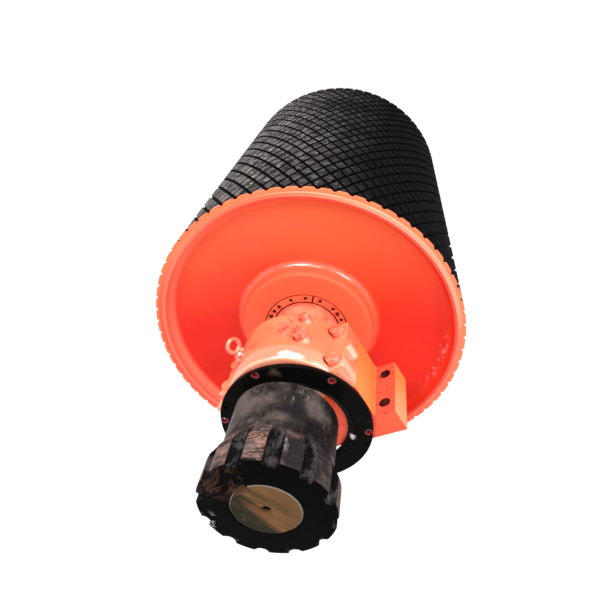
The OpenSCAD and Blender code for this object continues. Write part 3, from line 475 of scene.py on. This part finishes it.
def rubber():
    """Vulcanised rubber with paint sprayed over its two edges. Dusty grey patches on the diamonds
    double as painted light: they show on the drum's left and fade out towards its right, with
    pale patches of painted glare.
    """
    s = Shader("lagging_rubber", IOR=1.025)
    r = s.radius()
    top = s.step(r, LAGGING_R - 1.2 * MM, LAGGING_R - 0.3 * MM)
    x, y, _ = s.axes()
    dust_and_sheen = s.step(s.noise(26, 5, 0.7), 0.36, 0.70)
    dust_and_sheen = s.math("ADD", s.math("MULTIPLY", dust_and_sheen, 0.75), s.math("MULTIPLY", s.noise(160, 3), 0.2))
    # Painted light: the dusty grey shows on the drum's left and fades out towards its right.
    lit_side = s.math("ADD", x, s.math("MULTIPLY", s.noise(3.5, 3), 0.3))
    lit_side = s.step(lit_side, 0.56, 0.10)
    dust_and_sheen = s.math("MULTIPLY", dust_and_sheen, lit_side)
    lightened = s.mix(dust_and_sheen, (0.004, 0.0035, 0.0035), (0.210, 0.188, 0.182))
    # Painted highlight: pale glare patches on the left.
    glare = s.step(s.noise(44, 4, 0.7), 0.56, 0.68)
    lightened = s.mix(s.math("MULTIPLY", glare, s.math("MULTIPLY", lit_side, 0.75)), lightened,
                 (0.42, 0.41, 0.42))
    base = s.mix(top, (0.003, 0.003, 0.003), lightened)
    edge = s.math("SUBTRACT", LAGGING_HALF, s.math("ABSOLUTE", y))
    ragged = s.math("ADD", edge, s.math("MULTIPLY", s.noise(38, 4, 0.7), -6 * MM))
    painted = s.math("MULTIPLY", s.step(ragged, 4.5 * MM, 3.5 * MM), s.step(y, 0.1, -0.1))
    base = s.mix(painted, base, (0.90, 0.19, 0.085))
    grain = s.bump(s.noise(420, 3), 0.25 * MM, 0.5)
    rough = s.step(s.noise(30, 3), 0.3, 0.7, 0.48, 0.66)
    return s.finish(base, rough, grain)


def coupling_iron():
    """Dark primer on a turned and milled hub, with scuffs and brushed streaks on its teeth. The
    front face is glossy black. Painted light makes the boss paler on its left. Painted shade
    darkens the notches and the right-hand lands; lighter patches in the notches and grey specks
    on the face's left rim are painted highlights."""
    s = Shader("coupling_iron", IOR=1.06, Coat_Roughness=0.1)
    x, y, _ = s.axes()
    r = s.radius()
    cloud = s.noise(9, 6, 0.66)
    # Painted light: the boss is paler on its left side.
    paler = s.math("ADD", cloud, s.step(x, 0.03, -0.11, 0, 0.14))
    base = s.mix(s.step(paler, 0.43, 0.70), (0.007, 0.006, 0.006), (0.085, 0.068, 0.061))
    dark = s.near((0.092, -1.166, 0.108), 85 * MM, 60 * MM, 14)
    base = s.mix(s.math("MULTIPLY", dark, 0.85), base, (0.009, 0.008, 0.010))
    scuff = s.step(s.noise(34, 8, 0.78, s.stretched(1, 0.35, 1)), 0.60, 0.66)
    base = s.mix(s.math("MULTIPLY", scuff, 0.5), base, (0.30, 0.26, 0.24))
    on_teeth = s.step(y, -1.225, -1.27)
    at_face = s.step(y, COUPLING_FACE_Y + 3 * MM, COUPLING_FACE_Y + 1 * MM)
    turn = s.around((0, 0), NOTCH_TURN, NOTCH_PITCH)
    outer = s.math("MULTIPLY", s.step(r, BOSS_R + 1.5 * MM, BOSS_R + 3.5 * MM), on_teeth)
    notch = s.math("MULTIPLY", s.step(turn, 0.235, 0.215), outer)
    lands = s.math("MULTIPLY", s.step(turn, 0.225, 0.250), outer)
    # Painted shade in the notches, with lighter patches as painted highlights.
    blots_and_highlights = s.step(s.noise(30, 6, 0.7, s.stretched(1, 0.5, 1)), 0.50, 0.60)
    base = s.mix(notch, base, s.mix(blots_and_highlights, (0.0035, 0.003, 0.0035), (0.026, 0.021, 0.022)))
    # Painted shade on the right-hand lands.
    right_shade = s.math("MULTIPLY", lands, s.step(x, 0.08, 0.14, 0, 0.6))
    base = s.mix(right_shade, base, (0.022, 0.019, 0.021))
    streak = s.noise(12, 7, 0.74, s.stretched(0.7, 1.9, 0.7), 2.0)
    streak = s.math("MULTIPLY", s.step(streak, 0.485, 0.500), s.step(streak, 0.540, 0.522))
    patch = s.step(s.noise(9, 3, 0.6), 0.45, 0.58)
    streak = s.math("MULTIPLY", streak, patch)
    streak = s.math("MULTIPLY", streak, s.step(x, 0.13, 0.07, 0.25, 1))
    spray = s.math("MULTIPLY", lands, streak)
    base = s.mix(s.math("MULTIPLY", spray, 0.8), base, (0.34, 0.16, 0.125))
    rust = s.near((-0.060, COUPLING_FACE_Y, 0.125), 105 * MM, 60 * MM, 30)
    torn = s.noise(17, 8, 0.75, s.turned(30, 1.0, 1.0, 2.6), 0.8)
    rust = s.math("MULTIPLY", rust, s.step(torn, 0.49, 0.56))
    black = s.mix(s.math("MULTIPLY", rust, 0.55), (0.0012, 0.0011, 0.0010), (0.080, 0.038, 0.028))
    # Painted highlights: grey specks on the left of the face's rim.
    painted_glints = s.near((-0.155, COUPLING_FACE_Y, 0.010), 75 * MM, 50 * MM, 40)
    painted_glints = s.math("MULTIPLY", painted_glints, s.step(s.noise(40, 6, 0.75), 0.56, 0.60))
    black = s.mix(s.math("MULTIPLY", painted_glints, 0.8), black, (0.34, 0.30, 0.28))
    lick = s.noise(11, 7, 0.72, s.stretched(1.6, 1, 0.8), 2.2)
    lick = s.math("MULTIPLY", s.step(lick, 0.505, 0.515), s.step(lick, 0.545, 0.530))
    sparse = s.step(s.noise(7, 2, 0.5), 0.56, 0.66)
    lick = s.math("MULTIPLY", s.math("MULTIPLY", lick, sparse), s.step(r, 0.10, 0.15, 0.2, 0.9))
    base = s.mix(at_face, base, black)
    wet = s.math("MULTIPLY", s.step(s.noise(16, 6, 0.7), 0.58, 0.66),
                 s.step(at_face, 0, 1, 0.5, 0))
    wet = s.math("MAXIMUM", wet, s.math("MULTIPLY", notch, s.math("MULTIPLY", blots_and_highlights, 0.6)))
    wet = s.math("ADD", wet, s.math("MULTIPLY", at_face, lick))
    s.put(s.bsdf.inputs["Coat Weight"], wet)
    rough = s.step(cloud, 0.3, 0.7, 0.28, 0.46)
    lump = s.bump(s.noise(35, 6, 0.65), 0.8 * MM, 0.8)
    return s.finish(base, rough, s.bump(s.noise(240, 3), 0.1 * MM, 0.5, lump))


def shaft_steel():
    """Turned steel: the neck is painted, the end face carries streaks of rust preventive."""
    s = Shader("shaft_steel", IOR=1.12)
    _, y, _ = s.axes()
    r = s.radius()
    oil = s.noise(6.5, 6, 0.62, s.turned(23, 1.0, 1.0, 0.22), 0.5)
    across = s.turned(23, 1.0, 1.0, 1.0, split=True)[0]
    oil = s.math("ADD", oil, s.math("MULTIPLY", across, 3.6))
    face = s.mix(s.step(oil, 0.42, 0.76), (0.016, 0.015, 0.006), (0.140, 0.070, 0.028))
    smear = s.noise(9, 6, 0.6, s.turned(23, 1.0, 1.0, 0.16), 0.6)
    aside = s.math("ABSOLUTE", s.math("SUBTRACT", across, 0.006))
    smear = s.math("SUBTRACT", smear, s.math("MULTIPLY", aside, 3.4))
    face = s.mix(s.step(smear, 0.34, 0.48, 0, 0.85), face, (0.235, 0.102, 0.038))
    face = s.mix(s.step(s.noise(24, 5, 0.7), 0.62, 0.82), face, (0.15, 0.12, 0.09))
    turned = s.mix(s.noise(40, 3), (0.36, 0.35, 0.33), (0.50, 0.49, 0.47))
    chamfer = s.step(r, SHAFT_FACE_R - 0.8 * MM, SHAFT_FACE_R + 0.2 * MM)
    face = s.mix(chamfer, face, (0.24, 0.23, 0.20))
    # Painted shade: the centre hole is near black.
    hole = s.step(r, CENTRE_HOLE_R + 0.4 * MM, CENTRE_HOLE_R - 0.4 * MM)
    face = s.mix(hole, face, (0.012, 0.006, 0.003))
    at_end = s.step(y, -1.300, -1.302)
    metal_look = s.mix(at_end, turned, face)
    drive = s.math("MULTIPLY", s.step(y, -NECK_START_Y, -NECK_START_Y - 1 * MM),
                   s.step(y, -NECK_END_Y - 1 * MM, -NECK_END_Y))
    far = s.math("MULTIPLY", s.step(y, NECK_START_Y, NECK_START_Y + 1 * MM),
                 s.step(y, BEARING_Y, BEARING_Y - 1 * MM))
    paint = s.math("MINIMUM", 1.0, s.math("ADD", drive, far))
    enamel = s.mix(s.step(s.noise(14, 4), 0.4, 0.7), (0.93, 0.24, 0.14), (0.82, 0.10, 0.05))
    # Painted shade in the neck's corners.
    enamel = corner_shade(s, enamel, 60 * MM)
    base = s.mix(paint, metal_look, enamel)
    bare_and_hole_shade = s.math("SUBTRACT", 1.0, paint)
    metal = s.math("MULTIPLY", bare_and_hole_shade, s.step(at_end, 0, 1, 1.0, 0.0))
    rough = s.step(s.noise(20, 4), 0.3, 0.7, 0.28, 0.45)
    lathe = s.noise(90, 2, 0.5, s.stretched(0.02, 6, 0.02))
    return s.finish(base, rough, s.bump(lathe, 0.08 * MM, 0.6), metal)


def black_paint():
    """Black paint on a gas-cut plate, dusty, with rust in its holes and a painted highlight on one
    wet patch.
    """
    s = Shader("black_paint", IOR=1.08, Coat_Roughness=0.06)
    dust_and_sheen = s.step(s.noise(15, 7, 0.72), 0.60, 0.74)
    base = s.mix(s.math("MULTIPLY", dust_and_sheen, 0.5), (0.0030, 0.0030, 0.0025), (0.075, 0.050, 0.038))
    smear = s.near((0.034, RING_FACE_Y, 0.133), 42 * MM, 40 * MM, 35)
    base = s.mix(s.math("MULTIPLY", smear, 0.8), base, (0.070, 0.050, 0.034))
    turn = s.around(RING_CENTRE, RING_HOLE_TURN, RING_HOLE_PITCH)
    across = s.math("MULTIPLY", turn, RING_HOLE_PITCH * RING_PCR)
    off = s.math("SUBTRACT", s.radius(RING_CENTRE), RING_PCR)
    off = s.math("SQRT", s.math("ADD", s.math("MULTIPLY", across, across),
                                s.math("MULTIPLY", off, off)))
    lightened = s.math("MULTIPLY", s.step(off, RING_HOLE_R + 4 * MM, RING_HOLE_R + 2 * MM),
                  s.step(s.noise(50, 3), 0.40, 0.55))
    base = s.mix(s.math("MULTIPLY", lightened, 0.45), base, (0.24, 0.20, 0.20))
    hole = s.step(off, RING_HOLE_R + 0.8 * MM, RING_HOLE_R + 0.3 * MM)
    base = s.mix(hole, base, (0.32, 0.016, 0.020))
    wet = s.near((0.121, RING_FACE_Y, -0.153), 22 * MM, 18 * MM, 60)
    # Painted highlight: light grey specks in the wet patch, which also carries a coat.
    glint = s.math("MULTIPLY", wet, s.step(s.noise(75, 4, 0.6), 0.50, 0.56))
    base = s.mix(glint, base, (0.62, 0.62, 0.64))
    s.put(s.bsdf.inputs["Coat Weight"], wet)
    rough = s.step(dust_and_sheen, 0, 1, 0.26, 0.6)
    lump = s.bump(s.noise(60, 5, 0.6), 0.3 * MM, 0.7)
    return s.finish(base, rough, lump)


def bare_metal(name, dark, light, rough=0.3, grain=(0.05, 8, 0.05), **constants):
    """Ground or turned metal with fine tool marks along one direction."""
    s = Shader(name, **constants)
    marks = s.noise(80, 3, 0.6, s.stretched(*grain))
    base = s.mix(s.step(s.noise(18, 4), 0.3, 0.7), dark, light)
    return s.finish(base, s.step(marks, 0.3, 0.7, rough - 0.06, rough + 0.1),
                    s.bump(marks, 0.06 * MM, 0.5))


def dark_screws():
    """Socket screws: their heads are painted over, and their sockets are dark with painted shade.
    """
    s = Shader("screw_steel")
    spray = s.step(s.noise(70, 4, 0.6), 0.35, 0.55)
    base = s.mix(spray, (0.30, 0.030, 0.015), (0.92, 0.17, 0.080))
    _, y, _ = s.axes()
    # Painted shade down in the sockets.
    deep = s.step(s.math("ABSOLUTE", y), SCREW_FACE_Y - 0.6 * MM, SCREW_FACE_Y - 1.4 * MM)
    base = s.mix(deep, base, (0.10, 0.010, 0.006))
    return s.finish(base, s.step(spray, 0, 1, 0.34, 0.5), s.bump(spray, 0.1 * MM, 0.5))


def paint_nodes():
    """Gives every CAD node its finish."""
    disc = orange_paint("disc_paint", (0.70, 0.022, 0.010), (0.64, 0.016, 0.008), 1.0 * MM, 0.3,
                        disc_tint, Specular_IOR_Level=0.12, Coat_Roughness=0.02, Coat_IOR=1.8)
    band = orange_paint("band_paint", (0.92, 0.19, 0.085), (0.86, 0.13, 0.060), 0.6 * MM, 0.3,
                        band_tint, Specular_IOR_Level=0.3, Coat_Weight=0.3)
    housing = orange_paint("housing_paint", (0.93, 0.24, 0.115), (0.90, 0.17, 0.080), 2.2 * MM,
                           0.3, cap_tint, CAP_DOME, Specular_IOR_Level=0.2, Coat_Weight=1.0,
                           Coat_IOR=2.0, Coat_Roughness=0.05)
    base = orange_paint("base_paint", (0.93, 0.22, 0.055), (0.90, 0.155, 0.035), 1.0 * MM, 0.34,
                        foot_tint, Specular_IOR_Level=0.2, Coat_Weight=0.1)
    fitting = orange_paint("fitting_paint", (0.92, 0.17, 0.08), (0.82, 0.09, 0.040), 0.4 * MM,
                           0.22, fitting_tint, Coat_Weight=1.0, Coat_IOR=1.6,
                           Coat_Roughness=0.07)
    clamp = orange_paint("clamp_paint", (0.93, 0.17, 0.080), (0.86, 0.12, 0.055), 0.4 * MM, 0.3,
                         ring_tint, Specular_IOR_Level=0.3)
    steel = bare_metal("bare_steel", (0.42, 0.41, 0.40), (0.60, 0.59, 0.58), Metallic=1.0)
    ground = bare_metal("bearing_steel", (0.62, 0.62, 0.64), (0.75, 0.75, 0.77), 0.18,
                        Metallic=1.0)
    brass = bare_metal("cage_brass", (0.52, 0.36, 0.13), (0.68, 0.48, 0.20), Metallic=1.0)
    by_start = {
        "drum_shell": band, "end_disc": disc, "lock_front_ring": clamp,
        "housing_base": base, "housing_cap": housing, "far_end_cap": housing,
        "cap_": fitting, "eye_bolt": fitting, "grease_fitting": fitting, "drain_plug": fitting,
        "lock_screws": dark_screws(),
        "shaft": shaft_steel(), "coupling_hub": coupling_iron(),
        "coupling_key": bare_metal("key_steel", (0.025, 0.014, 0.009), (0.10, 0.050, 0.028), 0.5,
                                   IOR=1.08),
        "retaining_ring": black_paint(), "bearing_cage": brass, "bearing_": ground,
        "lagging": rubber(),
    }
    for name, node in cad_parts.items():
        found = next((m for start, m in by_start.items() if name.startswith(start)), steel)
        node.data.materials.clear()
        node.data.materials.append(found)


# ---------------------------------------------------------------- modelled pieces

def new_piece(name, verts, faces, mat, body, smooth_below=None):
    mesh = bpy.data.meshes.new(name)
    mesh.from_pydata([tuple(v) for v in verts], [], faces)
    mesh.validate()
    if smooth_below is not None:
        mesh.shade_smooth()
        mesh.set_sharp_from_angle(angle=math.radians(smooth_below))
    mesh.materials.append(mat)
    piece = bpy.data.objects.new(name, mesh)
    bpy.context.scene.collection.objects.link(piece)
    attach(piece, body)
    return piece


def around_drum(r, angle, along):
    """A point at radius r, at an angle from +X towards +Z, along the drum towards its drive end."""
    return (r * math.cos(angle), -along, r * math.sin(angle))


def lagging_mesh():
    """Raised diamonds between two hands of helical grooves, as one closed skin.

    Diamonds of row j are centred on that row and reach to the rows before and after it. The two
    end rows hold half diamonds. Row numbers run from the far end to the drive end.
    """
    pitch = 2 * math.pi / GROOVE_STARTS
    row_h = 2 * LAGGING_HALF / GROOVE_ROWS
    wide = LAGGING_R * pitch / 2
    edge = wide * row_h / math.hypot(wide, row_h)
    rings = [  # how far each ring of a diamond's outline is drawn in, and its radius
        (1 - (GROOVE_W / 2 + GROOVE_BEVEL) / edge, LAGGING_R),
        (1 - GROOVE_W / 2 / edge, LAGGING_R - GROOVE_BEVEL),
        (1 - (GROOVE_W / 2 - 0.6 * MM) / edge, LAGGING_R - GROOVE_DEPTH),
    ]
    verts, faces, corner = [], [], {}

    def vertex(r, angle, along):
        verts.append(around_drum(r, angle, along))
        return len(verts) - 1

    def turn(j):
        return GROOVE_TURN + (GROOVE_ROWS - j) % 2 * pitch / 2

    for j in range(GROOVE_ROWS + 1):
        mid_along = -LAGGING_HALF + j * row_h
        for i in range(GROOVE_STARTS):
            mid = turn(j) + (i + 0.5) * pitch
            crown = vertex(LAGGING_R, mid, mid_along)
            for k, (share, r) in enumerate(rings):
                corner[j, i, k] = [
                    vertex(r, mid - share * pitch / 2, mid_along),
                    vertex(r, mid, mid_along - share * row_h) if j > 0 else None,
                    vertex(r, mid + share * pitch / 2, mid_along),
                    vertex(r, mid, mid_along + share * row_h) if j < GROOVE_ROWS else None,
                ]
            for a, b in ((0, 1), (1, 2), (2, 3), (3, 0)):
                top, bevel, foot = (corner[j, i, k] for k in range(3))
                if top[a] is None or top[b] is None:
                    continue
                faces.append((crown, top[a], top[b]))
                faces.append((top[b], top[a], bevel[a], bevel[b]))
                faces.append((bevel[b], bevel[a], foot[a], foot[b]))

    def foot(j, i, which):
        return corner[j, i % GROOVE_STARTS, 2][which]

    LEFT, LOW, RIGHT, HIGH = range(4)
    for j in range(GROOVE_ROWS + 1):
        odd = (GROOVE_ROWS - j) % 2
        for i in range(GROOVE_STARTS):
            # The crossing left of diamond i, between its neighbour and the rows beside it
            before, after = i - 1 + odd, i + odd
            below = foot(j - 1, before, HIGH) if j > 0 else None
            above = foot(j + 1, before, LOW) if j < GROOVE_ROWS else None
            ring = [foot(j, i - 1, RIGHT), below, foot(j, i, LEFT), above]
            ring = [v for v in ring if v is not None]
            if len(ring) > 2:
                faces.append(tuple(ring))
            if j < GROOVE_ROWS:
                faces.append((foot(j, i, LEFT), foot(j, i, HIGH),
                              foot(j + 1, before, RIGHT), foot(j + 1, before, LOW)))
                faces.append((foot(j, i, HIGH), foot(j, i, RIGHT),
                              foot(j + 1, after, LOW), foot(j + 1, after, LEFT)))

    # The two end faces, and the tube on the drum between them
    tube = {}
    for j, way in ((0, -1), (GROOVE_ROWS, 1)):
        mid_along = -LAGGING_HALF + j * row_h
        for i in range(GROOVE_STARTS):
            for which, side in ((LEFT, -1), (RIGHT, 1)):
                angle = turn(j) + (i + 0.5 + side * rings[2][0] / 2) * pitch
                tube[j, i, which] = vertex(DRUM_R, angle, mid_along)
        for i in range(GROOVE_STARTS):
            profile = [corner[j, i, k][LEFT] for k in (2, 1, 0)] + [corner[j, i, 0][LEFT] - 1]
            profile += [corner[j, i, k][RIGHT] for k in (0, 1, 2)]
            faces.append((tube[j, i, LEFT], *profile, tube[j, i, RIGHT])[::way])
            after = (i + 1) % GROOVE_STARTS
            faces.append((tube[j, i, RIGHT], corner[j, i, 2][RIGHT], corner[j, after, 2][LEFT],
                          tube[j, after, LEFT])[::way])
    for i in range(GROOVE_STARTS):
        after = (i + 1) % GROOVE_STARTS
        for a, b in (((i, LEFT), (i, RIGHT)), ((i, RIGHT), (after, LEFT))):
            faces.append((tube[(GROOVE_ROWS, *a)], tube[(GROOVE_ROWS, *b)],
                          tube[(0, *b)], tube[(0, *a)]))
    return verts, faces


def add_lagging():
    verts, faces = lagging_mesh()
    piece = new_piece("lagging_skin", verts, faces, rubber(), "rotor", 30)
    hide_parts("lagging")


# ---------------------------------------------------------------- put it together

bpy.context.scene.view_settings.view_transform = "Standard"
add_camera()
add_world()
add_floor()
add_lamp("roof_light", (1.25, -1.3, 3.0), (0.1, -0.8, 0.1), (1.9, 2.4), 105)
add_lamp("key", (0.3, -2.7, 2.6), (0.1, -0.6, 0.2), (1.4, 1.4), 60)
add_lamp("right", (2.7, -2.0, 1.0), (0, -0.7, 0), (1.4, 1.4), 45)
add_lamp("back", (-2.6, 1.4, 2.6), (0, 0.2, 0), (1.6, 1.6), 90, mirrored=False)
add_lamp("window", (2.2, 2.2, 1.7), (0.15, -0.9, 0.1), (0.7, 0.7), 45)
paint_nodes()
add_lagging()
